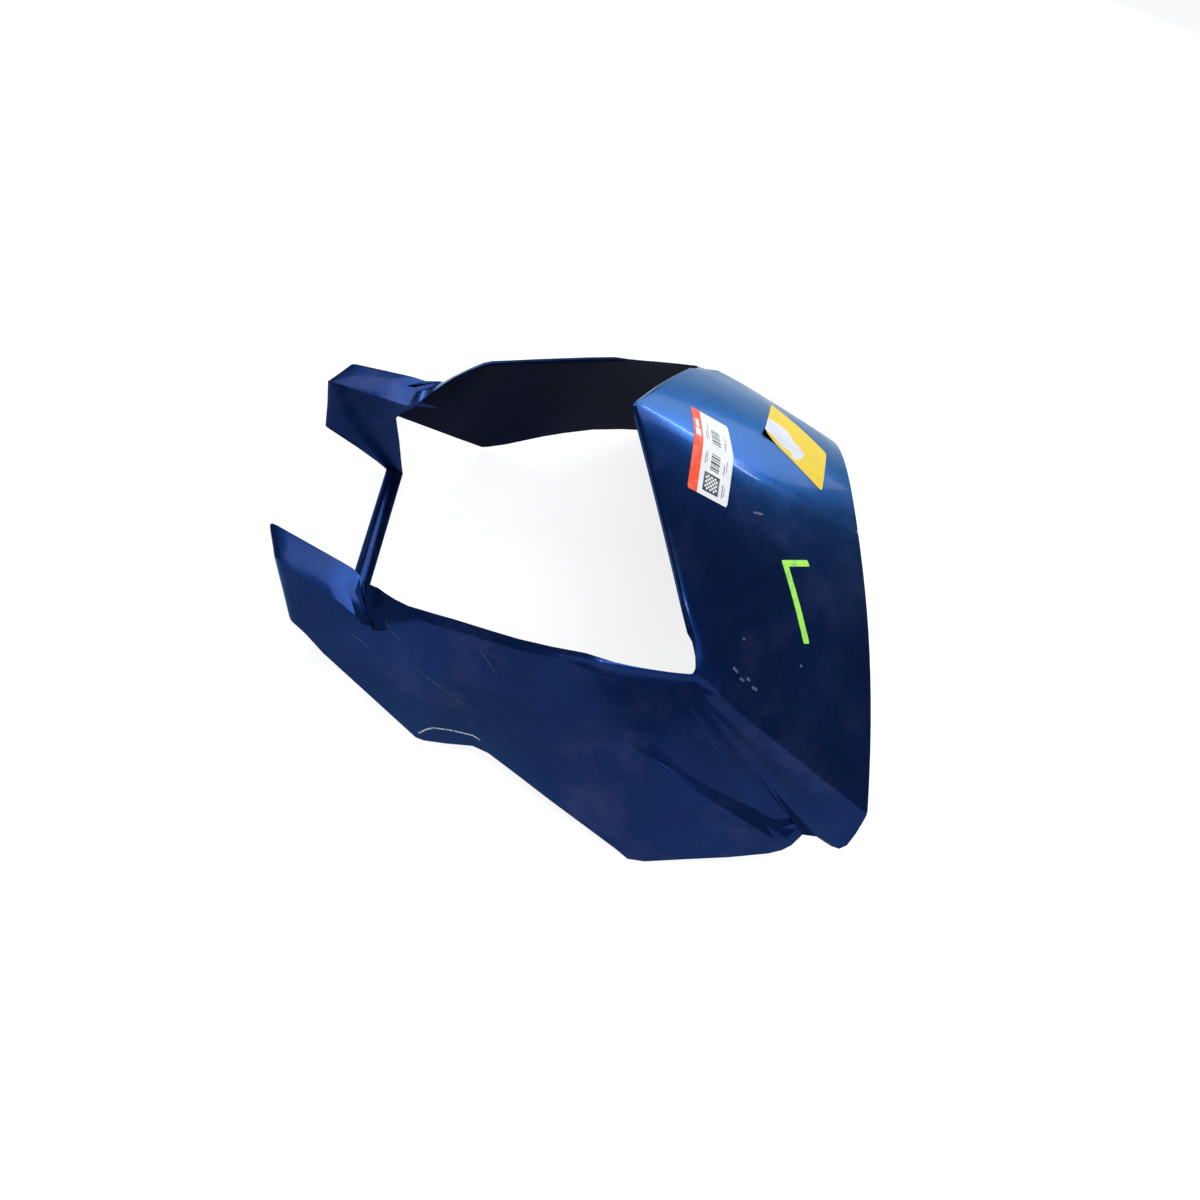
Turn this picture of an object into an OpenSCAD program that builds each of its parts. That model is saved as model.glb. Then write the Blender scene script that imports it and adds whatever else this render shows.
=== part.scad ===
// One-piece moulded front fairing: a ridged nose, a headlight opening, two flared
// arms with wings below them, and two horns joined by a crossbar.
// The front is +X and the ridge runs along X. The sizes below are in the level pose,
// with the floor of that pose at the lower corners of the wings; at the end the whole
// piece is turned nose up to the pose in which it rests.

/* [Wall] */
// Thickness of the moulded wall
wall = 3; // [2.4:0.1:3.6]
// Radius of the rounded-over edge of the headlight opening
edge_roll = 8; // [6:0.5:9]

/* [Nose] */
// Distance along X from the rear end of the ridge to its front end
nose_length = 192; // [180:1:205]
// Height of the rear end of the ridge above the floor
ridge_rear_height = 256; // [250:1:264]
// Height of the front end of the ridge above the floor
ridge_front_height = 199; // [192:1:206]
// Half width of the nose at the headlight opening
nose_rear_half_width = 199; // [195:1:203]
// Half width of the nose at its front edge
nose_front_half_width = 234; // [230:1:238]
// Height of the crease between nose and wing at the headlight opening
crease_rear_height = 153; // [150:1:156]
// Height of the crease between nose and wing at the front edge
crease_front_height = 30; // [26:1:34]
// How far the sides of the opening lie in front of the rear end of the ridge
opening_rake = 63; // [58:1:68]
// How far the corners of the front edge lie in front of its middle
front_rake = 17; // [12:1:20]
// Half width of the rounding along the ridge at its rear end
ridge_round_rear = 8; // [6:1:12]
// Half width of the rounding along the ridge at its front end
ridge_round_front = 34; // [28:1:40]
// Rise of the arched rear edge of the nose above a straight line
nose_arch = 5.5; // [3:0.5:7]
// Outward bulge of the nose at half length, greatest along the crease
nose_crown = 4; // [2:0.5:6]

/* [Wings] */
// Half width across the lower rear corners of the wings
wing_half_width = 273; // [268:1:278]
// How far the lower rear corner of a wing lies behind the front of the opening
wing_corner_back = 47; // [40:1:54]
// Height of the notch between wing and front tab
notch_height = 17; // [13:1:20]
// How far the lower part of a wing stands proud at the notch
blade_step = 5; // [3:0.5:6]
// Outward bulge of the side walls at half height
wall_crown = 4; // [2:0.5:6]

/* [Arms and horns] */
// Half width across the shoulders of the arms
shoulder_half_width = 159; // [155:1:163]
// Height of the shoulders of the arms
shoulder_height = 168; // [165:1:171]
// Height of the tips of the horns
horn_tip_height = 192; // [188:1:197]
// Distance along X from the front of the opening to the tips of the horns
horn_reach = 350; // [344:1:356]
// Half width between the inner edges of the horns at their tips
horn_tip_half_gap = 93; // [90:1:96]
// Width of the crossbar between the horns
crossbar_width = 15; // [12:1:18]
// Rise of the ridge that runs along the crossbar
crossbar_ridge = 5; // [3:0.5:7]
// Distance over which the end of a horn is rounded
end_round = 7; // [6:0.5:8]
// Width of the flange that closes the end of a horn in part
flange_width = 18; // [14:1:22]

/* [Fixing bosses] */
// Diameter of the fixing bosses
boss_d = 12; // [11:0.5:14]
// Bore of the fixing bosses
boss_bore_d = 5; // [4:0.1:6]
// Length of the fixing bosses below the wall
boss_length = 16; // [14:1:20]
// Depth of the bore in the fixing bosses
boss_bore_depth = 13; // [11:0.5:14]
// Place of the nose bosses between the ridge and the crease, as a share
nose_boss_side = 0.5; // [0.4:0.05:0.6]
// Place of the nose bosses between the opening and the front edge, as a share
nose_boss_forward = 0.6; // [0.5:0.05:0.7]

/* [Hidden] */

ROWS = 14;
KNEE_ROW = 3;
BLADE_TOP_ROW = 8;
BLADE_LOW_ROW = 10;
NOSE_STATIONS = 14;
eps = 0.01;

function mix(a, b, t) = a + (b - a) * t;
function unit(v) = v / norm(v);
function clamp01(t) = min(1, max(0, t));
function bezier(a, b, c, t) = mix(mix(a, b, t), mix(b, c, t), t);
function hump(t) = 4 * t * (1 - t);

// Nose: a roof whose ridge is rounded wider towards the front.
// s runs from the ridge to the crease, t from the opening to the front edge.
function nose_half_width(t) = mix(nose_rear_half_width, nose_front_half_width, t);
function ridge_height(t) = mix(ridge_rear_height, ridge_front_height, t);
function crease_height(t) = mix(crease_rear_height, crease_front_height, t);
function ridge_round(t) = mix(ridge_round_rear, ridge_round_front, t);
function nose_point(s, t) =
    let(y = s * nose_half_width(t),
        fall = (ridge_height(t) - crease_height(t)) / nose_half_width(t),
        b = ridge_round(t),
        run = y < b ? y * y / (2 * b) + b / 2 : y,
        x_mid = mix(-opening_rake, nose_length - opening_rake, t),
        x_side = mix(0, nose_length - opening_rake + front_rake, t))
    [mix(x_mid, x_side, s),
     y + nose_crown * hump(t) * s * s,
     ridge_height(t) - fall * run + nose_arch * (1 - t) * hump(s) + nose_crown * hump(t) * s];

// Share of the nose length that the rolled edge of the opening takes
roll_share = edge_roll / nose_length;

function nose_profile(s) =
    let(corner = nose_point(s, 0),
        knee = nose_point(s, roll_share),
        turn = clamp01((s - 0.8) / 0.2),
        side = unit([0, turn, 1 - turn]),
        rim = corner - edge_roll * side)
    [for (r = [0 : ROWS])
        r < KNEE_ROW ? bezier(rim, corner, knee, r / KNEE_ROW)
        : nose_point(s, mix(roll_share, 1, (r - KNEE_ROW) / (ROWS - KNEE_ROW)))];

// The blade is a step in the wing that starts at a point and grows towards the notch
blade_tip = [-wing_corner_back - 1, 101];
notch = [94, notch_height];
blade_low_end = [80, 8];
function blade_share(knee, hem, end) =
    let(m = (end.y - blade_tip.y) / (end.x - blade_tip.x))
    (blade_tip.y + m * (knee.x - blade_tip.x) - knee.z)
    / ((hem.z - knee.z) - m * (hem.x - knee.x));
function blade_growth(x) = clamp01((x - blade_tip.x) / (notch.x - blade_tip.x));

// Position of each row between the knee and the hem of a side profile
function row_share(r, top, low) =
    r <= BLADE_TOP_ROW ? top * (r - KNEE_ROW) / (BLADE_TOP_ROW - KNEE_ROW)
    : r <= BLADE_LOW_ROW ? mix(top, low, (r - BLADE_TOP_ROW) / (BLADE_LOW_ROW - BLADE_TOP_ROW))
    : mix(low, 1, (r - BLADE_LOW_ROW) / (ROWS - BLADE_LOW_ROW));

PLAIN_TOP = (BLADE_TOP_ROW - KNEE_ROW) / (ROWS - KNEE_ROW);
PLAIN_LOW = (BLADE_LOW_ROW - KNEE_ROW) / (ROWS - KNEE_ROW);
OUTWARD = [0, 0.9, 0.43];

// A side profile runs from the rim over a rounded corner to the knee, then down to the hem
function side_profile(rim, corner, knee, hem, crown, blade) =
    let(top = blade ? min(0.9, blade_share(knee, hem, notch)) : PLAIN_TOP,
        low = blade ? min(0.95, max(top + 0.02, blade_share(knee, hem, blade_low_end))) : PLAIN_LOW,
        growth = blade ? blade_growth(hem.x) : 0)
    [for (r = [0 : ROWS])
        r < KNEE_ROW ? bezier(rim, corner, knee, r / KNEE_ROW)
        : let(f = row_share(r, top, low),
              proud = r >= BLADE_LOW_ROW ? blade_step * growth
                  : r > BLADE_TOP_ROW ? blade_step * growth / 2 : 0)
          mix(knee, hem, f) + (crown * hump(f) + proud) * OUTWARD];

// Rim of the arms, from the front corner of the opening to the shoulder and the valley
arm_rim = [
    [-4, nose_rear_half_width - edge_roll, 154], [-30, 191, 156], [-81, 187, 161],
    [-133, 179, 163], [-186, 166, 167], [-213, shoulder_half_width, shoulder_height],
    [-243, 143, 162], [-262, 124, 157], [-275, 111, 151]];

// Spline through a list of points, u counts from 0 to len - 1
function spline(p, u) =
    let(n = len(p), i = min(n - 2, floor(u)), t = u - i,
        a = p[max(0, i - 1)], b = p[i], c = p[i + 1], d = p[min(n - 1, i + 2)])
    0.5 * (2 * b + (c - a) * t + (2 * a - 5 * b + 4 * c - d) * t * t
        + (3 * b - a - 3 * c + d) * t * t * t);
function rim_outward(u) =
    let(d = spline(arm_rim, min(len(arm_rim) - 1, u + 0.05)) - spline(arm_rim, max(0, u - 0.05)))
    unit([d.y, -d.x, 0]);

// Hem of the wing and the arm: [position along the rim, hem point]
chin_height = 1;
wing_hem = [
    [0.00, [nose_length - opening_rake + front_rake, nose_front_half_width + 1, crease_front_height]],
    [0.05, [143, 238, 22]],
    [0.10, [139, 243, 12]],
    [0.16, [133, 249, 3]],
    [0.22, [127, 251, 0]],
    [0.28, [120, 250, 2]],
    [0.36, [107, 247, 11]],
    [0.44, [notch.x, 246, notch.y]],
    [0.52, [86, 252, 9]],
    [0.58, [79, 254, 3]],
    [0.66, [68, 257, chin_height]],
    [0.86, [35, 263, 0]],
    [1.06, [0, 268, 0]],
    [1.26, [-33, wing_half_width, 0]],
    [1.36, [-wing_corner_back, wing_half_width, 2]],
    [1.45, [-57, 268, 8]]];
arm_hem = [
    [1.75, [-81, 256, 18]],
    [2.10, [-115, 238, 30]],
    [2.60, [-145, 220, 38]],
    [3.10, [-168, 206, 43]],
    [3.50, [-182, 200, 43]],
    [4.10, [-207, 196, 38]],
    [4.70, [-226, 193, 36]],
    [5.00, [-233, 191, 37]]];

function arm_profile(u, hem, blade) =
    let(rim = spline(arm_rim, u),
        side = rim_outward(u),
        corner = rim + edge_roll * side,
        knee = corner + [0, 0.15 * edge_roll, -edge_roll])
    side_profile(rim, corner, knee, hem, wall_crown, blade);

// Horn: a channel of outer wall, top facet and inner wall that rises to its tip
tip_in = [-horn_reach, horn_tip_half_gap, horn_tip_height];
tip_out = [-horn_reach + 13, horn_tip_half_gap + 34, horn_tip_height - 5];
tip_low_out = [-horn_reach + 17, horn_tip_half_gap + 52, horn_tip_height - 67];
tip_low_in = [-horn_reach - 11, horn_tip_half_gap - 9, horn_tip_height - 51];
bar_front = [-296, 97, 75];
bar_rear = [bar_front.x - crossbar_width, 94, 83];
lip = arm_hem[len(arm_hem) - 1][1];

// Each line: rim, rounded corner, knee, hem
horn_lines = [
    [[-228, 152, 166], [-233, 160, 167], [-238, 164, 142], mix(lip, tip_low_out, 0.25)],
    [[-243, 143, 162], [-248, 156, 163], [-249, 163, 139], mix(lip, tip_low_out, 0.5)],
    [[-252, 135, 160], [-256, 153, 161], [-257, 162, 138], mix(lip, tip_low_out, 0.75)],
    [[-259, 128, 158], [-262, 150, 158], [-263, 161, 139], tip_low_out],
    [[-264, 122, 156], [-266, 146, 156], [-264, 159, 143], mix(tip_low_out, tip_out, 0.5)],
    [[-268, 118, 155], [-268, 142, 155], [-265, 155, 148], tip_out],
    [[-272, 114, 153], [-274, 126, 153], [-277, 132, 156], mix(tip_out, tip_in, 0.5)],
    [[-275, 111, 151], [-279, 110, 153], [-284, 107, 155], tip_in],
    [[-286, 107, 147], [-289, 106, 147], [-293, 105, 148], mix(tip_in, tip_low_in, 0.5)],
    [[-294, 104, 141], [-297, 103, 139], [-300, 102, 138], tip_low_in],
    [[-295, 101, 111], [-297, 101, 110], [-300, 100, 110], mix(tip_low_in, bar_rear, 0.5)],
    [bar_front, bar_front + [-1, 0, 1], bar_front + [-3, -1, 2], bar_rear]];

// The end of a horn turns over a rounded edge into a flange towards the middle of the end
end_middle = (tip_in + tip_out + tip_low_out + tip_low_in) / 4;
FLANGE_ROWS = 4;
function horn_profile(line) =
    let(knee = line[2],
        end = line[3],
        out = unit(end - knee),
        turned = line[3].x < tip_low_out.x + 1,
        inward = turned ? unit(end_middle - end) : out,
        reach = turned ? flange_width : 0,
        before = end - end_round * out,
        after = turned ? end + end_round * inward : end - 0.4 * end_round * out)
    [for (r = [0 : ROWS])
        r < KNEE_ROW ? bezier(line[0], line[1], knee, r / KNEE_ROW)
        : r <= ROWS - FLANGE_ROWS ? mix(knee, before, (r - KNEE_ROW) / (ROWS - FLANGE_ROWS - KNEE_ROW))
        : r == ROWS ? (turned ? end + reach * inward : end)
        : bezier(before, turned ? end : mix(before, end, 0.4), after,
            (r - ROWS + FLANGE_ROWS) / (FLANGE_ROWS - 1))];

// Crossbar: a low ridge between two straight edges, half of it from the horn to the middle
BAR_STATIONS = 5;
function bar_point(y, t) =
    [mix(bar_front.x, bar_rear.x, t), y, mix(bar_front.z, bar_rear.z, t) + crossbar_ridge * hump(t)];
function bar_profile(s) = [for (r = [0 : ROWS]) bar_point(s * (bar_rear.y - 6), r / ROWS)];

// Half of the skin, from the ridge round the opening to the middle of the crossbar
half_skin = concat(
    [for (i = [0 : NOSE_STATIONS]) nose_profile(pow(i / NOSE_STATIONS, 1.15))],
    [for (k = [1 : len(wing_hem) - 1])
        arm_profile(wing_hem[k][0], wing_hem[k][1], wing_hem[k][1].x <= notch.x)],
    [for (h = arm_hem) arm_profile(h[0], h[1], false)],
    [for (line = horn_lines) horn_profile(line)],
    [for (i = [BAR_STATIONS - 1 : -1 : 0]) bar_profile(i / (BAR_STATIONS - 1))]);

function flip(p) = [p.x, -p.y, p.z];
HALF = len(half_skin);
// The whole ring of profiles: one side there, the mirrored side back
skin = concat(
    half_skin,
    [for (i = [HALF - 2 : -1 : 1]) [for (p = half_skin[i]) flip(p)]]);
RING = len(skin);

function at(i, r) = skin[(i + RING) % RING][min(ROWS, max(0, r))];
function skin_normal(i, r) =
    unit(cross(unit(at(i, r + 1) - at(i, r - 1)), unit(at(i + 1, r) - at(i - 1, r))));

outer_points = [for (i = [0 : RING - 1]) for (r = [0 : ROWS]) at(i, r)];
inner_points = [for (i = [0 : RING - 1]) for (r = [0 : ROWS]) at(i, r) - wall * skin_normal(i, r)];

// It lies nose up, on the lips of the arms and the lower rear corners of the wings
wing_corner = wing_hem[len(wing_hem) - 3][1];
rest_tilt = atan2(lip.z - wing_corner.z, wing_corner.x - lip.x);
function tilted(p) =
    [p.x * cos(rest_tilt) - p.z * sin(rest_tilt), p.y, p.x * sin(rest_tilt) + p.z * cos(rest_tilt)];
resting = [for (p = concat(outer_points, inner_points)) tilted(p)];
rest_x = [for (p = resting) p.x];
rest_z = [for (p = resting) p.z];
middle_x = (min(rest_x) + max(rest_x)) / 2;
floor_z = min(rest_z);

// A shell between the skin and its inward offset, closed along the rim and the hem
module shell() {
    n = ROWS + 1;
    m = RING * n;
    function v(i, r) = (i % RING) * n + r;
    faces = concat(
        [for (i = [0 : RING - 1]) for (r = [0 : ROWS - 1])
            each [[v(i, r), v(i + 1, r + 1), v(i, r + 1)], [v(i, r), v(i + 1, r), v(i + 1, r + 1)]]],
        [for (i = [0 : RING - 1]) for (r = [0 : ROWS - 1])
            each [[m + v(i, r), m + v(i, r + 1), m + v(i + 1, r + 1)],
                  [m + v(i, r), m + v(i + 1, r + 1), m + v(i + 1, r)]]],
        [for (i = [0 : RING - 1])
            each [[v(i, 0), m + v(i + 1, 0), v(i + 1, 0)], [v(i, 0), m + v(i, 0), m + v(i + 1, 0)]]],
        [for (i = [0 : RING - 1])
            each [[v(i, ROWS), m + v(i + 1, ROWS), m + v(i, ROWS)],
                  [v(i, ROWS), v(i + 1, ROWS), m + v(i + 1, ROWS)]]]);
    polyhedron(points = concat(outer_points, inner_points), faces = faces);
}

// Places a child so that its +Z points along a direction
module along(origin, direction) {
    translate(origin)
        rotate([0, acos(direction.z), atan2(direction.y, direction.x)])
            children();
}

// Fixing boss that hangs from the inside of the wall, bored from its free end
module boss() {
    root = 0.5 * wall;
    translate([0, 0, -wall - boss_length]) difference() {
        cylinder(d = boss_d, h = boss_length + wall - root, $fn = 48);
        translate([0, 0, -1]) cylinder(d = boss_bore_d, h = boss_bore_depth + 1, $fn = 48);
    }
}

nose_boss_at = nose_point(nose_boss_side, nose_boss_forward);
nose_boss_axis = unit(cross(
    nose_point(nose_boss_side, nose_boss_forward + eps) - nose_boss_at,
    nose_point(nose_boss_side + eps, nose_boss_forward) - nose_boss_at));
facet_line = horn_lines[6];
horn_boss_at = mix(facet_line[3], facet_line[2], 0.5);
horn_boss_axis = unit(cross(facet_line[2] - facet_line[3], tip_out - tip_in));

module half_fittings() {
    along(nose_boss_at, nose_boss_axis) boss();
    along(horn_boss_at, horn_boss_axis) boss();
}

module fairing() {
    color("midnightblue")
        translate([-middle_x, 0, -floor_z]) rotate([0, -rest_tilt, 0]) {
            shell();
            half_fittings();
            mirror([0, 1, 0]) half_fittings();
        }
}

fairing();
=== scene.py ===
"""Dresses the one-piece front fairing: glossy navy paint, its paper stickers, a paint mark and
signs of use, on a plain pale floor under soft light."""

import math

import bmesh
import bpy
from mathutils import Matrix, Vector
from mathutils.bvhtree import BVHTree


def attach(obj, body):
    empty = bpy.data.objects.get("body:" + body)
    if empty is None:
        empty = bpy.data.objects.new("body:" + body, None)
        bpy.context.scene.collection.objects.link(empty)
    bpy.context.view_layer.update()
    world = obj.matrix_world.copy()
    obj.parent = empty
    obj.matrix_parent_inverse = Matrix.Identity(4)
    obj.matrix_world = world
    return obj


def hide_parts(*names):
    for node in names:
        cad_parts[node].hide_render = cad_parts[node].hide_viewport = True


bl_info = {
    "name": "Front fairing",
    "version": (1, 0, 0),
    "blender": (4, 5, 0),
    "location": "View3D > Sidebar > Fairing",
    "description": "Dresses a moulded front fairing with paint, stickers and marks",
    "category": "Object",
}

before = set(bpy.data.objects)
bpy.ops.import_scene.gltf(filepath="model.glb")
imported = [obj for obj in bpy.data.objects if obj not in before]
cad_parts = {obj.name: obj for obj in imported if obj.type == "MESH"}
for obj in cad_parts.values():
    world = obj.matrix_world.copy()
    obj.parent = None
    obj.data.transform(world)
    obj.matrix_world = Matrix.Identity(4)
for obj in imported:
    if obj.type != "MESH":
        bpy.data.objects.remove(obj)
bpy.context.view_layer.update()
NODE = "fairing"
MM = 0.001
DOWN = Vector((0.0, 0.0, -1.0))
INWARD = Vector((0.0, 1.0, 0.0))

# The fairing is drawn level and lies nose up: this brings it from the one pose to the other
REST_TILT = math.radians(10.4812)
REST_SHIFT = Vector((0.120409, 0.0, 0.007615))
REST = Matrix.Translation(REST_SHIFT) @ Matrix.Rotation(-REST_TILT, 4, "Y")
# The photographer's place in the level pose
EYE = Vector((-0.04325, -0.64949, 0.75907))
EYE_AZIMUTH = math.radians(3.983)
EYE_ELEVATION = math.radians(49.091)

# Places and sizes on the shell are in millimetres in the level pose, down to CREASE_BAND.
# Pairs on the nose hold a value at the opening behind it and one at its front edge.
NOSE_HALF_WIDTH = (199.0, 234.0)
NOSE_CREASE = (153.0, 30.0)
NOSE_RIDGE_REAR = 256.0
NOSE_CROWN = 4.0
OPENING_RAKE = 63.0
BEHIND_OPENING = -90.0
# The solid's nose is an even roof. The one seen falls further to the front, where it is nearly
# flat beside the ridge and turns down late towards its corners.
SOLID_NOSE = {
    "length": 192.0,
    "ridge_front": 199.0,
    "rake": 17.0,
    "round": (8.0, 34.0),
    "ridge_share": 1.0,
    "power": 1.0,
}
SEEN_NOSE = {
    "length": 207.0,
    "ridge_front": 120.0,
    "rake": 2.0,
    "round": (4.0, 12.0),
    "ridge_share": 0.12,
    "power": 2.8,
}
# Steps that settle which point of the nose a place belongs to
NOSE_STEPS = 12

# What the inside of the shell faces: the middle of a horn behind HORN_START, and in front of it
# a line along the middle of the fairing, a little behind each face
HORN_START = -262.0
HORN_CORE = (-325.0, 118.0, 128.0)
SHELL_CORE = 40.0
CORE_LAG = 20.0
BAR_HALF_WIDTH = 88.0
# Round the saddle between a horn and its arm the paint runs over the inner edge, and only faces
# that look down more than this are bare, in the inside's colour darkened as painted shade
SADDLE_BOX = ((-296.0, 96.0, 108.0), (-262.0, 172.0, 178.0))
SADDLE_SHADED_BARE = -0.6
# The saddle runs smoother than the solid's: places on the solid, and where they are seen
SADDLE_REACH = 9.0
SADDLE_MOVES = [
    ((-233, 160, 167), (-234, 161, 164)),
    ((-238, 164, 142), (-238, 165, 150)),
    ((-243, 143, 162), (-241, 144, 163)),
    ((-248, 156, 163), (-246, 157, 160)),
    ((-249, 163, 139), (-247, 163, 146)),
    ((-252, 135, 160), (-251, 136, 160)),
    ((-256, 153, 161), (-254, 153, 157)),
    ((-257, 162, 138), (-253, 162, 145)),
    ((-259, 128, 158), (-259, 128, 157)),
    ((-262, 150, 158), (-260, 148, 154)),
    ((-263, 161, 139), (-257, 160, 144)),
    ((-266, 146, 156), (-264, 144, 151)),
    ((-264, 159, 143), (-259, 159, 144.5)),
    ((-268, 118, 155), (-270, 116, 152)),
    ((-268, 142, 155), (-268, 138, 150)),
    ((-265, 155, 148), (-262, 157, 146)),
    ((-272, 114, 153), (-273, 113, 151)),
    ((-274, 126, 153), (-276, 122, 152)),
    ((-277, 132, 156), (-281, 128, 154)),
]
# The rear corner of the opening is rounder than the solid's, and the blade's step stays crisp
OPENING_BOX = ((-72.0, 166.0, 144.0), (24.0, 203.0, 184.0))
OPENING_ROUNDS = 6
WING_BOX = ((-60.0, 230.0, -5.0), (100.0, 280.0, 110.0))
# The crease between nose and wing: how far from its line, and what share of its length
CREASE_BAND = 5.0
CREASE_SPAN = (0.04, 1.02)

# Points closer than this are one point, and points this near the middle lie on the ridge
MERGE_DISTANCE = 0.00002
RIDGE_TOLERANCE = 0.0001

# Places of what lies on the fairing at rest, in millimetres: x and y, seen from above.
# The label's ends run from near over the ridge to far.
LABEL_LEFT = ((66.7, -54.8), (70.4, 3.4), (68.3, 46.9))
LABEL_RIGHT = ((103.2, -55.9), (108.6, 2.2), (104.8, 45.6))
LABEL_FOLD = 0.57
STICKER_CORNERS = {
    "near_left": (145.1, 72.7),
    "near_right": (203.1, 28.0),
    "far_right": (219.8, 104.0),
    "far_left": (167.9, 166.5),
}
GREEN_HOOK = [(182.6, -69.2), (159.4, -81.0), (170.9, -111.0), (182.3, -141.1)]
NOSE_SCUFFS = [
    [(128.0, -46.5), (138.0, -43.0)],
    [(119.4, -181.0), (124.0, -183.5)],
    [(126.0, -187.0), (130.0, -187.5)],
    [(132.0, -184.5), (135.0, -186.0)],
    [(137.0, -189.5), (141.8, -189.9)],
    [(125.4, -157.6), (127.2, -158.8)],
    [(177.8, -159.0), (179.6, -160.4)],
]
# Marks on the near side: x and height
WORN_LINE = [
    (-113.0, 9.5), (-107.5, 17.9), (-101.2, 23.8), (-85.0, 28.8), (-67.8, 31.7), (-61.0, 30.5),
]
ARM_SCRATCHES = [
    [(-72.8, 126.4), (-65.0, 119.0), (-58.6, 112.2)],
    [(-120.0, 84.0), (-96.0, 74.0), (-80.0, 66.0)],
    [(-150.0, 112.0), (-138.0, 103.0)],
    [(-178.0, 88.0), (-160.0, 80.0)],
]

# Outlines and print in the unit square of a patch. Boxes are (u from, u to, v from, v to).
UNIT_SQUARE = [(0, 0), (1, 0), (1, 1), (0, 1)]
TORN_STRIP = [
    (0.0, 0.02), (0.14, 0.1), (0.3, 0.07), (0.42, 0.13), (0.5, 0.05), (0.6, 0.16), (0.66, 0.36),
    (0.55, 0.42), (0.46, 0.4), (0.34, 0.52), (0.2, 0.5), (0.1, 0.46), (0.0, 0.4),
]
LABEL_BAND = (0.0, 0.235, 0.0, 1.0)
BAND_CHIPS = [(0.06, 0.18, 0.6, 0.7), (0.08, 0.16, 0.72, 0.84)]
LABEL_CHEQUER = (0.35, 0.74, 0.05, 0.245)
CHEQUER_CELLS = 9
STRIPE_SPAN = (0.47, 0.69)
# Where each stripe starts, and how thick it is
STRIPES = [
    (0.285, 0.012), (0.305, 0.022), (0.34, 0.01), (0.36, 0.026), (0.4, 0.012), (0.425, 0.02),
    (0.46, 0.012), (0.6, 0.014), (0.63, 0.024), (0.67, 0.01), (0.69, 0.02), (0.725, 0.012),
    (0.75, 0.018), (0.78, 0.012),
]
LABEL_LINES = [
    (0.32, 0.335, 0.32, 0.45),
    (0.36, 0.375, 0.34, 0.48),
    (0.33, 0.345, 0.62, 0.74),
    (0.38, 0.395, 0.64, 0.86),
    (0.82, 0.84, 0.06, 0.2),
    (0.87, 0.885, 0.08, 0.17),
    (0.8, 0.82, 0.3, 0.42),
    (0.86, 0.875, 0.34, 0.48),
    (0.8, 0.82, 0.6, 0.7),
    (0.84, 0.855, 0.66, 0.78),
]

# Marks are laid by rays that start this far from the middle of the frame
RAY_START = 0.8
LABEL_LIFT = 0.00005
MARK_LIFT = 0.00002
# How thick the torn strip and the marks are
STRIP_THICKNESS = 0.00012
PEN_THICKNESS = 0.00012
WORN_THICKNESS = 0.00008
SCRATCH_THICKNESS = 0.00006
# Radius round the sticker's free corner within which it stands off
FREE_CORNER = 0.02
# Even parts of a patch along its sides, and the rounding of its corners as a share of a side
LABEL_PARTS = 24
STICKER_PARTS = (24, 28)
STICKER_CORNER = 0.05
PEN_CORNER = 0.03
SCUFF_CORNER = 0.25
CORNER_SEGMENTS = 5
# A stroke is cut about this often, in millimetres, so that it bends with the skin
STROKE_CUT = 4.0
SCRATCH_WIDTH = 0.5
SCUFF_WIDTH = 2.2
WORN_WIDTH = 1.5

# Lights: name, direction, distance, sides, setting with its power, colour
LIGHTS = [
    ("key_light", (0.42, 0.79, 0.45), 2.4, (1.1, 1.9), "key_power", (0.97, 0.98, 1.0)),
    ("streak_light", (-0.45, 0.82, 0.36), 2.6, (1.0, 0.5), "streak_power", (1.0, 0.98, 0.95)),
    ("rim_light", (0.05, -0.3, 0.95), 2.0, (1.5, 0.1), "rim_power", (0.95, 0.97, 1.0)),
    ("ridge_light", (0.55, 0.76, 0.35), 2.4, (0.6, 0.08), "ridge_power", (1.0, 1.0, 1.0)),
    ("crease_light", (0.4, -0.79, 0.42), 2.4, (0.3, 0.03), "crease_power", (0.95, 0.97, 1.0)),
    ("front_fill", (0.1, -0.9, 0.7), 3.0, (2.4, 1.6), "front_power", (0.95, 0.97, 1.0)),
]
LIGHTS_AIM = Vector((0.0, 0.0, 0.12))
FLOOR_DROP = 0.0004
FLOOR_GLOW = 0.78
# The two colours and the result of a Mix node, by their places among its sockets
MIX_FIRST, MIX_SECOND, MIX_RESULT = 6, 7, 2


def grey(level):
    """Grey of that level."""
    return (level, level, level)


def dimmed(colour, factor):
    """Colour made darker or lighter by a factor."""
    return tuple(channel * factor for channel in colour)


def new_material(name):
    """A node material with only its Principled shader and its output."""
    material = bpy.data.materials.new(name)
    material.use_nodes = True
    nodes, links = material.node_tree.nodes, material.node_tree.links
    nodes.clear()
    output = nodes.new("ShaderNodeOutputMaterial")
    shader = nodes.new("ShaderNodeBsdfPrincipled")
    links.new(shader.outputs["BSDF"], output.inputs["Surface"])
    return material, nodes, links, shader


def object_noise(nodes, links, scale, detail, roughness, stretch=(1.0, 1.0, 1.0)):
    """Noise on Object coordinates, stretched along the axes."""
    place = nodes.new("ShaderNodeTexCoord")
    mapping = nodes.new("ShaderNodeMapping")
    mapping.inputs["Scale"].default_value = stretch
    noise = nodes.new("ShaderNodeTexNoise")
    noise.inputs["Scale"].default_value = scale
    noise.inputs["Detail"].default_value = detail
    noise.inputs["Roughness"].default_value = roughness
    links.new(place.outputs["Object"], mapping.inputs["Vector"])
    links.new(mapping.outputs["Vector"], noise.inputs["Vector"])
    return noise.outputs["Fac"]


def ramp(nodes, links, value, low, high):
    """Colour ramp between two (position, colour) stops."""
    node = nodes.new("ShaderNodeValToRGB")
    for element, (position, colour) in zip(node.color_ramp.elements, (low, high)):
        element.position = position
        element.color = (*colour, 1.0)
    links.new(value, node.inputs["Fac"])
    return node.outputs["Color"]


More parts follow.
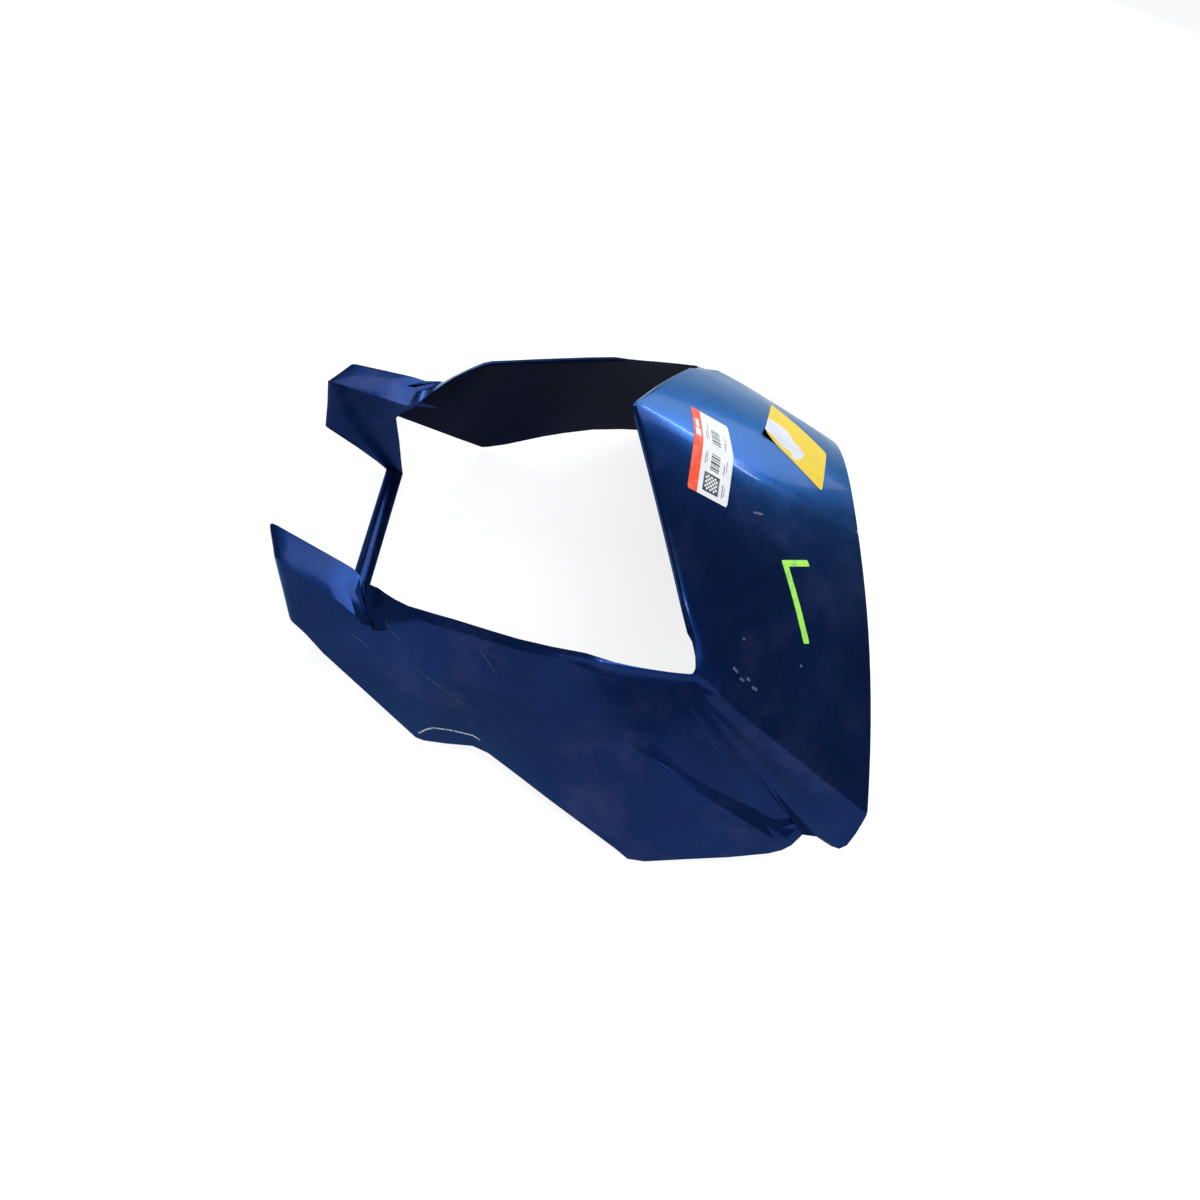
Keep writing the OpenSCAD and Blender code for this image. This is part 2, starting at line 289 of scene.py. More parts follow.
def blend(nodes, links, share, under, colour):
    """Lays a colour over what a socket gives, by a share that comes from another socket."""
    node = nodes.new("ShaderNodeMix")
    node.data_type = "RGBA"
    links.new(share, node.inputs["Factor"])
    links.new(under, node.inputs[MIX_FIRST])
    node.inputs[MIX_SECOND].default_value = (*colour, 1.0)
    return node.outputs[MIX_RESULT]


def bump(nodes, links, shader, height, strength, distance):
    """Gives the shader a bump from a height socket."""
    node = nodes.new("ShaderNodeBump")
    node.inputs["Strength"].default_value = strength
    node.inputs["Distance"].default_value = distance
    links.new(height, node.inputs["Height"])
    links.new(node.outputs["Normal"], shader.inputs["Normal"])


def navy_paint(settings):
    """Deep glossy navy with a dusty bloom, cloudy polish and faint hairline scratches."""
    material, nodes, links, shader = new_material("navy_paint")
    cloud = object_noise(nodes, links, scale=9.0, detail=5.0, roughness=0.6)
    deep, bright = tuple(settings.deep_navy), tuple(settings.bright_navy)
    pigment = ramp(nodes, links, cloud, (0.36, deep), (0.64, bright))
    bloom = object_noise(
        nodes, links, scale=16.0, detail=8.0, roughness=0.68, stretch=(1.0, 0.7, 1.3)
    )
    bloom_mask = ramp(nodes, links, bloom, (0.5, grey(0.0)), (0.78, grey(settings.dust_amount)))
    dusted = blend(nodes, links, bloom_mask, pigment, tuple(settings.dust_lilac))
    speck = object_noise(nodes, links, scale=620.0, detail=1.0, roughness=0.4)
    speck_mask = ramp(nodes, links, speck, (0.765, grey(0.0)), (0.79, grey(0.14)))
    colour = blend(nodes, links, speck_mask, dusted, (0.3, 0.36, 0.5))
    links.new(colour, shader.inputs["Base Color"])
    haze = ramp(nodes, links, bloom, (0.35, grey(0.23)), (0.75, grey(0.36)))
    links.new(haze, shader.inputs["Roughness"])
    shader.inputs["Metallic"].default_value = settings.pearl
    shader.inputs["Specular IOR Level"].default_value = 0.3
    shader.inputs["Specular Tint"].default_value = (*settings.gloss_tint, 1.0)
    shader.inputs["Coat Weight"].default_value = 0.09
    shader.inputs["Coat Roughness"].default_value = 0.07
    hairlines = object_noise(
        nodes, links, scale=240.0, detail=2.0, roughness=0.5, stretch=(0.06, 1.0, 1.0)
    )
    bump(nodes, links, shader, hairlines, strength=0.02, distance=0.0002)
    return material


def bare_inside(colour):
    """Moulded inside without gloss, a little dusty, its colour darkened as painted shade."""
    material, nodes, links, shader = new_material("bare_inside")
    dust = object_noise(nodes, links, scale=30.0, detail=6.0, roughness=0.6)
    base = ramp(nodes, links, dust, (0.35, dimmed(colour, 0.7)), (0.7, dimmed(colour, 1.4)))
    links.new(base, shader.inputs["Base Color"])
    shader.inputs["Roughness"].default_value = 0.6
    shader.inputs["Specular IOR Level"].default_value = 0.05
    grain = object_noise(nodes, links, scale=500.0, detail=2.0, roughness=0.5)
    bump(nodes, links, shader, grain, strength=0.1, distance=0.0002)
    return material


def paper(name, colour, wear, ink=None):
    """Matt coated paper, a little uneven and rubbed, bare or under ink."""
    material, nodes, links, shader = new_material(name)
    fibre = object_noise(nodes, links, scale=420.0, detail=3.0, roughness=0.6)
    grime = object_noise(nodes, links, scale=60.0, detail=6.0, roughness=0.7)
    base = ramp(nodes, links, grime, (0.3, dimmed(colour, 1.0 - wear)), (0.6, colour))
    if ink is not None:
        rubbed = ramp(nodes, links, grime, (0.3, grey(0.75)), (0.55, grey(1.0)))
        base = blend(nodes, links, rubbed, base, ink)
    links.new(base, shader.inputs["Base Color"])
    shader.inputs["Roughness"].default_value = 0.55
    shader.inputs["Specular IOR Level"].default_value = 0.12
    bump(nodes, links, shader, fibre, strength=0.15, distance=0.0002)
    return material


def thick_marker(colour, worn):
    """Opaque paint-pen ink that thins where the pen ran dry."""
    material, nodes, links, shader = new_material("green_paint_pen")
    streak = object_noise(
        nodes, links, scale=90.0, detail=4.0, roughness=0.6, stretch=(1.0, 0.6, 1.0)
    )
    base = ramp(nodes, links, streak, (0.3, worn), (0.52, colour))
    links.new(base, shader.inputs["Base Color"])
    shader.inputs["Roughness"].default_value = 0.4
    bump(nodes, links, shader, streak, strength=0.2, distance=0.0003)
    return material


def rubbed_plastic(name, colour, paint):
    """Bare rubbed plastic, broken up with what is left of the paint."""
    material, nodes, links, shader = new_material(name)
    chips = object_noise(nodes, links, scale=300.0, detail=5.0, roughness=0.7)
    base = ramp(nodes, links, chips, (0.36, paint), (0.5, colour))
    links.new(base, shader.inputs["Base Color"])
    shader.inputs["Roughness"].default_value = 0.6
    bump(nodes, links, shader, chips, strength=0.2, distance=0.0002)
    return material


def add_piece(bm, name, materials):
    """Turns a bmesh into a piece that rides on the fairing."""
    mesh = bpy.data.meshes.new(name)
    bm.to_mesh(mesh)
    bm.free()
    for material in materials:
        mesh.materials.append(material)
    piece = bpy.data.objects.new(name, mesh)
    bpy.context.scene.collection.objects.link(piece)
    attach(piece, "root")
    return piece


def skin_tree():
    """Search tree over the painted shell."""
    bm = bmesh.new()
    bm.from_mesh(bpy.data.objects["painted_shell"].data)
    tree = BVHTree.FromBMesh(bm)
    bm.free()
    return tree


def between(pair, share):
    """Value that far along from the first of a pair to the second."""
    return pair[0] + (pair[1] - pair[0]) * share


def front_ends(nose):
    """x of the nose's front edge at its ridge and at its crease."""
    front = nose["length"] - OPENING_RAKE
    return front, front + nose["rake"]


def nose_place(nose, s, t):
    """x and height of a point: s from ridge to crease, t from opening to front edge."""
    half = between(NOSE_HALF_WIDTH, t)
    y = s * half
    rounding = between(nose["round"], t)
    run = y * y / (2 * rounding) + rounding / 2 if y < rounding else y
    ridge = between((NOSE_RIDGE_REAR, nose["ridge_front"]), t)
    even = between((1.0, nose["ridge_share"]), t)
    fall = even * run / half + (1 - even) * (run / half) ** nose["power"]
    ridge_front, crease_front = front_ends(nose)
    x = between((between((-OPENING_RAKE, ridge_front), t), between((0.0, crease_front), t)), s)
    return x, ridge - (ridge - between(NOSE_CREASE, t)) * fall


def nose_shift(x, y):
    """How far the nose that is seen lies from the solid's, in x and height, above a place."""
    if x < BEHIND_OPENING:
        return 0.0, 0.0
    ridge_front, crease_front = front_ends(SOLID_NOSE)
    lengths = (ridge_front + OPENING_RAKE, crease_front)
    s, t = min(1.0, abs(y) / NOSE_HALF_WIDTH[1]), 0.0
    for _ in range(NOSE_STEPS):
        t = min(1.0, max(0.0, (x + OPENING_RAKE * (1 - s)) / between(lengths, s)))
        crown = NOSE_CROWN * 4 * t * (1 - t) * s * s
        s = min(1.0, max(0.0, (abs(y) - crown) / between(NOSE_HALF_WIDTH, t)))
    solid, seen = nose_place(SOLID_NOSE, s, t), nose_place(SEEN_NOSE, s, t)
    return seen[0] - solid[0], seen[1] - solid[1]


def lower_nose(bm):
    """Moves the nose of the level shell, with its bosses, to where it is seen."""
    for vert in bm.verts:
        along, up = nose_shift(vert.co.x / MM, vert.co.y / MM)
        vert.co += Vector((along * MM, 0.0, up * MM))


def smooth_saddle(bm):
    """Evens out the saddles between arms and horns of the level shell."""
    for vert in bm.verts:
        place = Vector((vert.co.x, abs(vert.co.y), vert.co.z)) / MM
        total, move = 0.0, Vector()
        for solid, seen in SADDLE_MOVES:
            weight = math.exp(-((place - Vector(solid)).length / SADDLE_REACH) ** 2)
            total += weight
            move += (Vector(seen) - Vector(solid)) * weight
        move *= MM / max(1.0, total)
        vert.co += Vector((move.x, math.copysign(move.y, vert.co.y), move.z))


def in_box(vert, low, high):
    """Whether a vertex of the level shell lies in a box, which stands on both sides."""
    place = (vert.co.x / MM, abs(vert.co.y) / MM, vert.co.z / MM)
    return all(low[i] < place[i] < high[i] for i in range(3))


def soften(bm, low, high, rounds):
    """Rounds the level shell inside a box."""
    near = [vert for vert in bm.verts if in_box(vert, low, high)]
    for _ in range(rounds):
        bmesh.ops.smooth_vert(
            bm, verts=near, factor=0.5, use_axis_x=True, use_axis_y=True, use_axis_z=True
        )


def is_painted(edge):
    """Whether an edge lies between painted faces."""
    return all(face.material_index == 0 for face in edge.link_faces)


def on_ridge(edge):
    """Whether an edge of the level shell is a painted part of the ridge."""
    return is_painted(edge) and all(
        abs(vert.co.y) < RIDGE_TOLERANCE and vert.co.x > BEHIND_OPENING * MM
        for vert in edge.verts
    )


def on_crease(edge, angle):
    """Whether an edge of the level shell is a painted part of the crease from nose to wing."""
    if len(edge.link_faces) != 2 or edge.calc_face_angle(0.0) < angle or not is_painted(edge):
        return False
    for vert in edge.verts:
        share = vert.co.x / MM / front_ends(SEEN_NOSE)[1]
        off = abs(vert.co.z / MM - between(NOSE_CREASE, share))
        if not CREASE_SPAN[0] < share < CREASE_SPAN[1] or off > CREASE_BAND:
            return False
    return True


def is_inside(face):
    """Whether a face of the level shell looks inwards, away from the paint."""
    centre = face.calc_center_median()
    if all(in_box(vert, *SADDLE_BOX) for vert in face.verts):
        return face.normal.z < SADDLE_SHADED_BARE
    if centre.x / MM >= HORN_START:
        core = Vector((centre.x - CORE_LAG * MM, 0.0, SHELL_CORE * MM))
    elif abs(centre.y) / MM < BAR_HALF_WIDTH:
        return face.normal.z < 0.0
    else:
        core = Vector(HORN_CORE) * MM
        core.y = math.copysign(core.y, centre.y)
    return face.normal.dot(core - centre) > 0.0


def outline_patch(outline, cuts_u, cuts_v, corner=0.0):
    """One flat face in a unit square, cut along lines so that it can bend and carry print."""
    bm = bmesh.new()
    bm.faces.new([bm.verts.new((u, v, 0.0)) for u, v in outline])
    if corner > 0.0:
        bmesh.ops.bevel(
            bm, geom=bm.verts[:], offset=corner, segments=CORNER_SEGMENTS, profile=0.5,
            affect="VERTICES", material=-1
        )
    for across, cuts in ((Vector((1.0, 0.0, 0.0)), cuts_u), (Vector((0.0, 1.0, 0.0)), cuts_v)):
        for cut in cuts:
            parts = bm.verts[:] + bm.edges[:] + bm.faces[:]
            bmesh.ops.bisect_plane(bm, geom=parts, plane_co=across * cut, plane_no=across)
    bmesh.ops.recalc_face_normals(bm, faces=bm.faces[:])
    if bm.faces[:][0].normal.z < 0.0:
        bmesh.ops.reverse_faces(bm, faces=bm.faces[:])
    return bm


def even_cuts(count):
    """Evenly spaced cuts across a unit square."""
    return [i / count for i in range(1, count)]


def above(point):
    """Start of a ray down to a place in x and y, in millimetres."""
    return Vector((point[0] * MM, point[1] * MM, RAY_START))


def beside(point):
    """Start of a ray inwards to a place in x and height on the near side, in millimetres."""
    return Vector((point[0] * MM, -RAY_START, point[1] * MM))


def lay_down(bm, tree, start, towards, lift):
    """Moves each point of a flat patch to the start of its ray, then along it onto the skin."""
    for vert in bm.verts:
        hit = tree.ray_cast(start(vert.co.x, vert.co.y), towards)[0]
        if hit is None:
            raise RuntimeError("a mark lies beside the fairing")
        vert.co = hit - towards * lift
    bm.normal_update()


def thicken(piece, thickness):
    """Gives a laid patch the thickness of its paper or ink."""
    shell = piece.modifiers.new("thickness", "SOLIDIFY")
    shell.thickness = thickness
    shell.offset = 1.0


def stroke_outline(points, width):
    """Closed outline round an open stroke of even width."""
    points = [Vector(p) for p in points]
    last = len(points) - 1
    left, right = [], []
    for i, point in enumerate(points):
        before, after = points[max(0, i - 1)], points[min(last, i + 1)]
        first = (point - before).normalized() if i > 0 else (after - point).normalized()
        second = (after - point).normalized() if i < last else first
        mean = (first + second).normalized()
        side = Vector((-mean.y, mean.x))
        reach = width / 2 / max(0.5, side.dot(Vector((-first.y, first.x))))
        left.append(point + side * reach)
        right.append(point - side * reach)
    return left + right[::-1]


def draw_stroke(name, points, width, material, towards, thickness, rounding=0.0):
    """A thin stroke on the skin, through points in millimetres."""
    outline = stroke_outline(points, width)
    low = Vector((min(p.x for p in outline), min(p.y for p in outline)))
    high = Vector((max(p.x for p in outline), max(p.y for p in outline)))
    size = high - low
    unit_outline = [((p.x - low.x) / size.x, (p.y - low.y) / size.y) for p in outline]
    cuts_u, cuts_v = (even_cuts(max(2, int(side / STROKE_CUT))) for side in size)
    bm = outline_patch(unit_outline, cuts_u, cuts_v, rounding)
    ray_start = above if towards is DOWN else beside

    def start(u, v):
        return ray_start((low.x + u * size.x, low.y + v * size.y))

    lay_down(bm, skin_tree(), start, towards, MARK_LIFT)
    thicken(add_piece(bm, name, [material]), thickness)


def label_point(u, v):
    """Start of the ray to a point of the label, which is folded over the ridge."""
    ends = []
    for near, fold, far in (LABEL_LEFT, LABEL_RIGHT):
        if v < LABEL_FOLD:
            ends.append(Vector(near).lerp(Vector(fold), v / LABEL_FOLD))
        else:
            ends.append(Vector(fold).lerp(Vector(far), (v - LABEL_FOLD) / (1 - LABEL_FOLD)))
    return above(ends[0].lerp(ends[1], u))


def in_print(box, u, v):
    """Whether a place in the label's square lies in a box of its print."""
    return box[0] <= u <= box[1] and box[2] <= v <= box[3]


def print_cuts(boxes, first):
    """Cuts along the edges of the boxes and of the chequered cells, for u (0) or v (2)."""
    edges = {round(edge, 4) for box in boxes for edge in box[first:first + 2]}
    cells = LABEL_CHEQUER[first:first + 2]
    return edges | {between(cells, i / CHEQUER_CELLS) for i in range(CHEQUER_CELLS)}


def chequer_dark(u, v):
    """Whether a cell of the chequered square is dark: its rim, and every other cell."""
    cells = []
    for place, low, high in ((u, *LABEL_CHEQUER[:2]), (v, *LABEL_CHEQUER[2:])):
        cells.append(int((place - low) / (high - low) * CHEQUER_CELLS))
    rim = any(cell in (0, CHEQUER_CELLS - 1) for cell in cells)
    return rim or sum(cells) % 2 == 0


def sticker_point(u, v):
    """Start of the ray to a point of the sticker: u from left to right, v from near to far."""
    corners = {name: Vector(corner) for name, corner in STICKER_CORNERS.items()}
    near = corners["near_left"].lerp(corners["near_right"], u)
    far = corners["far_left"].lerp(corners["far_right"], u)
    return above(near.lerp(far, v))


def lift_corner(bm, corner, height):
    """Lets a patch stand off the skin round its free corner."""
    for vert in bm.verts:
        free = max(0.0, 1.0 - (vert.co - corner).length / FREE_CORNER)
        vert.co.z += height * free * free


def colour_setting(name, description, default):
    """Setting that holds a colour."""
    return bpy.props.FloatVectorProperty(
        name=name, description=description, subtype="COLOR", default=default
    )


def share_setting(name, description, default):
    """Setting that holds a share from 0 to 1."""
    return bpy.props.FloatProperty(
        name=name, description=description, default=default, min=0.0, max=1.0, subtype="FACTOR"
    )


def length_setting(name, description, default):
    """Setting that holds a length in metres."""
    return bpy.props.FloatProperty(
        name=name, description=description, default=default, unit="LENGTH"
    )


def angle_setting(name, description, default):
    """Setting that holds an angle, given in degrees."""
    return bpy.props.FloatProperty(
        name=name, description=description, default=math.radians(default), subtype="ANGLE"
    )


def power_setting(name, description, default):
    """Setting that holds the power of a light."""
    return bpy.props.FloatProperty(
        name=name, description=description, default=default, unit="POWER"
    )


def plain_setting(name, description, default):
    """Setting that holds a number."""
    return bpy.props.FloatProperty(name=name, description=description, default=default)


class PaintSettings(bpy.types.PropertyGroup):
    deep_navy: colour_setting("Deep navy", "Darkest tone of the paint", (0.0016, 0.0115, 0.064))
    bright_navy: colour_setting("Bright navy", "Lightest tone of the paint", (0.0026, 0.018, 0.094))
    dust_lilac: colour_setting("Dust", "Colour of the dusty bloom", (0.11, 0.1, 0.24))
    dust_amount: share_setting("Dust amount", "How much the bloom covers", 0.2)
    # The inside's colour is the bare plastic's, darkened as painted shade
    shaded_inside_navy: colour_setting("Inside", "Colour of the bare inside", (0.0012, 0.004, 0.022))
    gloss_tint: colour_setting("Gloss tint", "Colour of the gloss", (0.45, 0.68, 1.0))
    pearl: share_setting("Pearl", "Share of metal flake in the paint", 0.9)
    step_angle: angle_setting("Step angle", "The blade's step stays crisp where it is sharper", 9.0)
    ridge_round: length_setting("Ridge rounding", "Half width of the rounded ridge", 0.003)
    crease_round: length_setting("Crease rounding", "Half width of the rounded creases", 0.0016)
    crease_angle: angle_setting("Crease angle", "Edges sharper than this stay crisp", 24.0)


class LabelSettings(bpy.types.PropertyGroup):
    thickness: length_setting("Thickness", "Thickness of the paper", 0.0002)
    paper_white: colour_setting("Paper", "Colour of the paper", (0.78, 0.79, 0.8))
    band_orange: colour_setting("Band", "Colour of the printed band", (0.84, 0.075, 0.02))
    ink_dark: colour_setting("Ink", "Colour of the printed blocks", (0.04, 0.042, 0.06))
    wear: share_setting("Wear", "How far the paper is dulled", 0.12)
    corner: plain_setting("Corner", "Rounding of the corners, as a share of the side", 0.045)


class StickerSettings(bpy.types.PropertyGroup):
    thickness: length_setting("Thickness", "Thickness of the sticker", 0.00025)
    yellow: colour_setting("Yellow", "Colour of the sticker", (0.72, 0.52, 0.012))
    yellow_wear: share_setting("Yellow wear", "How far the face is dulled", 0.08)
    backing: colour_setting("Backing", "Colour of the torn backing", (0.62, 0.66, 0.74))
    backing_wear: share_setting("Backing wear", "How far the backing is dulled", 0.2)
    corner_lift: length_setting("Corner lift", "How far the free corner stands off", 0.004)


class MarkSettings(bpy.types.PropertyGroup):
    green: colour_setting("Green", "Colour of the paint-pen mark", (0.36, 0.86, 0.07))
    dry_green: colour_setting("Dry green", "Colour where the pen ran dry", (0.2, 0.42, 0.14))
    green_width: plain_setting("Stroke width", "Width of the green stroke, in millimetres", 5.6)
    scratch: colour_setting("Scratch", "Colour of faint scratches and scuffs", (0.06, 0.08, 0.17))
    rubbed: colour_setting("Rubbed edge", "Colour of rubbed plastic", (0.68, 0.74, 0.82))


class StageSettings(bpy.types.PropertyGroup):
    floor_size: length_setting("Floor size", "Side of the floor", 24.0)
    lens: plain_setting("Lens", "Focal length in millimetres", 30.01)
    key_power: power_setting("Key light", "Power of the light beyond the nose", 31.0)
    streak_power: power_setting("Rear light", "Power of the low light behind the horns", 16.0)
    rim_power: power_setting("Rim light", "Power of the narrow light above the rims", 16.0)
    ridge_power: power_setting("Ridge light", "Power of the light in the ridge's highlight", 8.0)
    crease_power: power_setting("Crease light", "Power of the light in the creases' highlight", 0.8)
    front_power: power_setting("Front light", "Power of the soft light in front", 14.0)
    fill_strength: plain_setting("Fill", "Strength of the surrounding light", 0.42)


class FairingPaint(bpy.types.Operator):
    """Paints the moulded shell, with smooth faces between its crisp edges"""

    bl_idname = "fairing.paint_shell"
    bl_label = "Painted shell"

    def execute(self, context):
        settings = context.scene.fairing_paint
        bm = bmesh.new()
        bm.from_mesh(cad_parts[NODE].data)
        bmesh.ops.remove_doubles(bm, verts=bm.verts[:], dist=MERGE_DISTANCE)
        bm.transform(REST.inverted())
        lower_nose(bm)
        smooth_saddle(bm)
        soften(bm, *OPENING_BOX, OPENING_ROUNDS)
        bm.normal_update()
        # Faces that look inwards take the bare inside, whose darker colour is painted shade
        for face in bm.faces:
            face.material_index = 1 if is_inside(face) else 0
        ridge = [edge for edge in bm.edges if on_ridge(edge)]
        bmesh.ops.bevel(
            bm, geom=ridge, offset=settings.ridge_round, segments=4, profile=0.5,
            affect="EDGES", material=-1
        )
        creases = [edge for edge in bm.edges if on_crease(edge, settings.crease_angle)]
        bmesh.ops.bevel(
            bm, geom=creases, offset=settings.crease_round, segments=3, profile=0.5,
            affect="EDGES", material=-1
        )
        for face in bm.faces:
            face.smooth = True
        for edge in bm.edges:
            if len(edge.link_faces) == 2:
                on_wing = all(in_box(vert, *WING_BOX) for vert in edge.verts)
                limit = settings.step_angle if on_wing else settings.crease_angle
                edge.smooth = edge.calc_face_angle(0.0) < limit
        bm.transform(REST)
        materials = [navy_paint(settings), bare_inside(tuple(settings.shaded_inside_navy))]
        shell = add_piece(bm, "painted_shell", materials)
        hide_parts(NODE)
        even = shell.modifiers.new("even_shading", "WEIGHTED_NORMAL")
        even.keep_sharp = True
        return {"FINISHED"}


class FairingLabel(bpy.types.Operator):
    """Lays the white paper label over the ridge, with a printed band and plain blocks"""

    bl_idname = "fairing.paper_label"
    bl_label = "Paper label"

    def execute(self, context):
        settings = context.scene.fairing_label
        white = tuple(settings.paper_white)
        materials = [
            paper("label_paper", white, settings.wear),
            paper("label_band", white, settings.wear, tuple(settings.band_orange)),
            paper("label_ink", white, settings.wear, tuple(settings.ink_dark)),
        ]
        stripes = [(*STRIPE_SPAN, start, start + thick) for start, thick in STRIPES]
        blocks = stripes + LABEL_LINES
        boxes = [LABEL_BAND, *BAND_CHIPS, LABEL_CHEQUER, *blocks]
        cuts_u = sorted(print_cuts(boxes, 0))
        cuts_v = sorted(print_cuts(boxes, 2) | set(even_cuts(LABEL_PARTS)))
        bm = outline_patch(
            UNIT_SQUARE,
            [cut for cut in cuts_u if 0 < cut < 1],
            [cut for cut in cuts_v if 0 < cut < 1],
            settings.corner,
        )
        bare, band, ink = range(len(materials))
        for face in bm.faces:
            u, v, _ = face.calc_center_median()
            if in_print(LABEL_BAND, u, v):
                face.material_index = bare if any(in_print(c, u, v) for c in BAND_CHIPS) else band
            elif in_print(LABEL_CHEQUER, u, v):
                face.material_index = ink if chequer_dark(u, v) else bare
            elif any(in_print(block, u, v) for block in blocks):
                face.material_index = ink
        lay_down(bm, skin_tree(), label_point, DOWN, LABEL_LIFT)
        thicken(add_piece(bm, "paper_label", materials), settings.thickness)
        return {"FINISHED"}


class FairingSticker(bpy.types.Operator):
    """Lays the yellow sticker, with the white backing bare where its face is torn off"""

    bl_idname = "fairing.yellow_sticker"
    bl_label = "Yellow sticker"

    def execute(self, context):
        settings = context.scene.fairing_sticker
        tree = skin_tree()
        free_corner = tree.ray_cast(above(STICKER_CORNERS["near_left"]), DOWN)[0]
        yellow = paper("sticker_yellow", tuple(settings.yellow), settings.yellow_wear)
        white = paper("sticker_backing", tuple(settings.backing), settings.backing_wear)
        cuts_u, cuts_v = (even_cuts(count) for count in STICKER_PARTS)
        face = outline_patch(UNIT_SQUARE, cuts_u, cuts_v, STICKER_CORNER)
        strip = outline_patch(TORN_STRIP, cuts_u, cuts_v)
        for bm, name, material, lift, thickness in (
            (face, "yellow_sticker", yellow, LABEL_LIFT, settings.thickness),
            (strip, "torn_backing", white, LABEL_LIFT + settings.thickness, STRIP_THICKNESS),
        ):
            lay_down(bm, tree, sticker_point, DOWN, lift)
            lift_corner(bm, free_corner, settings.corner_lift)
            thicken(add_piece(bm, name, [material]), thickness)
        return {"FINISHED"}


class FairingMarks(bpy.types.Operator):
    """Draws the green paint-pen hook, the rubbed line above the lip, the scratches and scuffs"""

    bl_idname = "fairing.use_marks"
    bl_label = "Marks of use"

    def execute(self, context):
        settings = context.scene.fairing_marks
        navy = tuple(context.scene.fairing_paint.bright_navy)
        pen = thick_marker(tuple(settings.green), tuple(settings.dry_green))
        draw_stroke(
            "green_mark", GREEN_HOOK, settings.green_width, pen, DOWN, PEN_THICKNESS, PEN_CORNER
        )
        rubbed = rubbed_plastic("rubbed_edge", tuple(settings.rubbed), navy)
        draw_stroke("worn_line", WORN_LINE, WORN_WIDTH, rubbed, INWARD, WORN_THICKNESS)
        faint = rubbed_plastic("faint_scratch", tuple(settings.scratch), navy)
        for i, points in enumerate(ARM_SCRATCHES, 1):
            draw_stroke(
                f"arm_scratch_{i}", points, SCRATCH_WIDTH, faint, INWARD, SCRATCH_THICKNESS
            )
        for i, points in enumerate(NOSE_SCUFFS, 1):
            draw_stroke(
                f"nose_scuff_{i}", points, SCUFF_WIDTH, faint, DOWN, SCRATCH_THICKNESS,
                SCUFF_CORNER
            )
        return {"FINISHED"}


def floor_material():
    """Pale floor that looks near white and throws little light back."""
    material = bpy.data.materials.new("pale_floor")
    material.use_nodes = True
    nodes, links = material.node_tree.nodes, material.node_tree.links
    nodes.clear()
    output = nodes.new("ShaderNodeOutputMaterial")
    path = nodes.new("ShaderNodeLightPath")
    seen = path.outputs["Is Camera Ray"]
    for ray in ("Is Glossy Ray", "Is Transmission Ray"):
        either = nodes.new("ShaderNodeMath")
        either.operation = "MAXIMUM"
        links.new(seen, either.inputs[0])
        links.new(path.outputs[ray], either.inputs[1])
        seen = either.outputs[0]
    dim = nodes.new("ShaderNodeBsdfDiffuse")
    dim.inputs["Color"].default_value = (0.3, 0.3, 0.31, 1.0)
    pale = nodes.new("ShaderNodeBsdfDiffuse")
    pale.inputs["Color"].default_value = (0.35, 0.35, 0.35, 1.0)
    glow = nodes.new("ShaderNodeEmission")
    glow.inputs["Strength"].default_value = FLOOR_GLOW
    both = nodes.new("ShaderNodeAddShader")
    mix = nodes.new("ShaderNodeMixShader")
    links.new(pale.outputs[0], both.inputs[0])
    links.new(glow.outputs[0], both.inputs[1])
    links.new(seen, mix.inputs[0])
    links.new(dim.outputs[0], mix.inputs[1])
    links.new(both.outputs[0], mix.inputs[2])
    links.new(mix.outputs[0], output.inputs["Surface"])
    return material


def add_floor(scene, size):
    """Square floor under the fairing, which belongs to the stage."""
    bm = bmesh.new()
    bmesh.ops.create_grid(bm, x_segments=1, y_segments=1, size=size / 2)
    mesh = bpy.data.meshes.new("floor")
    bm.to_mesh(mesh)
    bm.free()
    mesh.materials.append(floor_material())
    floor = bpy.data.objects.new("floor", mesh)
    scene.collection.objects.link(floor)
    floor.location.z = -FLOOR_DROP


def area_light(scene, name, direction, distance, sides, power, colour):
    """Rectangular light in a direction from the fairing's middle, aimed at it."""
    data = bpy.data.lights.new(name, "AREA")
    data.shape = "RECTANGLE"
    data.size, data.size_y = sides
    data.energy = power
    data.color = colour
    light = bpy.data.objects.new(name, data)
    scene.collection.objects.link(light)
    direction = Vector(direction).normalized()
    light.location = LIGHTS_AIM + direction * distance
    light.rotation_mode = "QUATERNION"
    light.rotation_quaternion = direction.to_track_quat("Z", "Y")


def even_world(scene, strength):
    """Surroundings of one cool, even light."""
    world = bpy.data.worlds.new("surroundings")
    scene.world = world
    world.use_nodes = True
    nodes, links = world.node_tree.nodes, world.node_tree.links
    nodes.clear()
    output = nodes.new("ShaderNodeOutputWorld")
    fill = nodes.new("ShaderNodeBackground")
    fill.inputs["Color"].default_value = (0.9, 0.95, 1.0, 1.0)
    fill.inputs["Strength"].default_value = strength
    links.new(fill.outputs[0], output.inputs["Surface"])


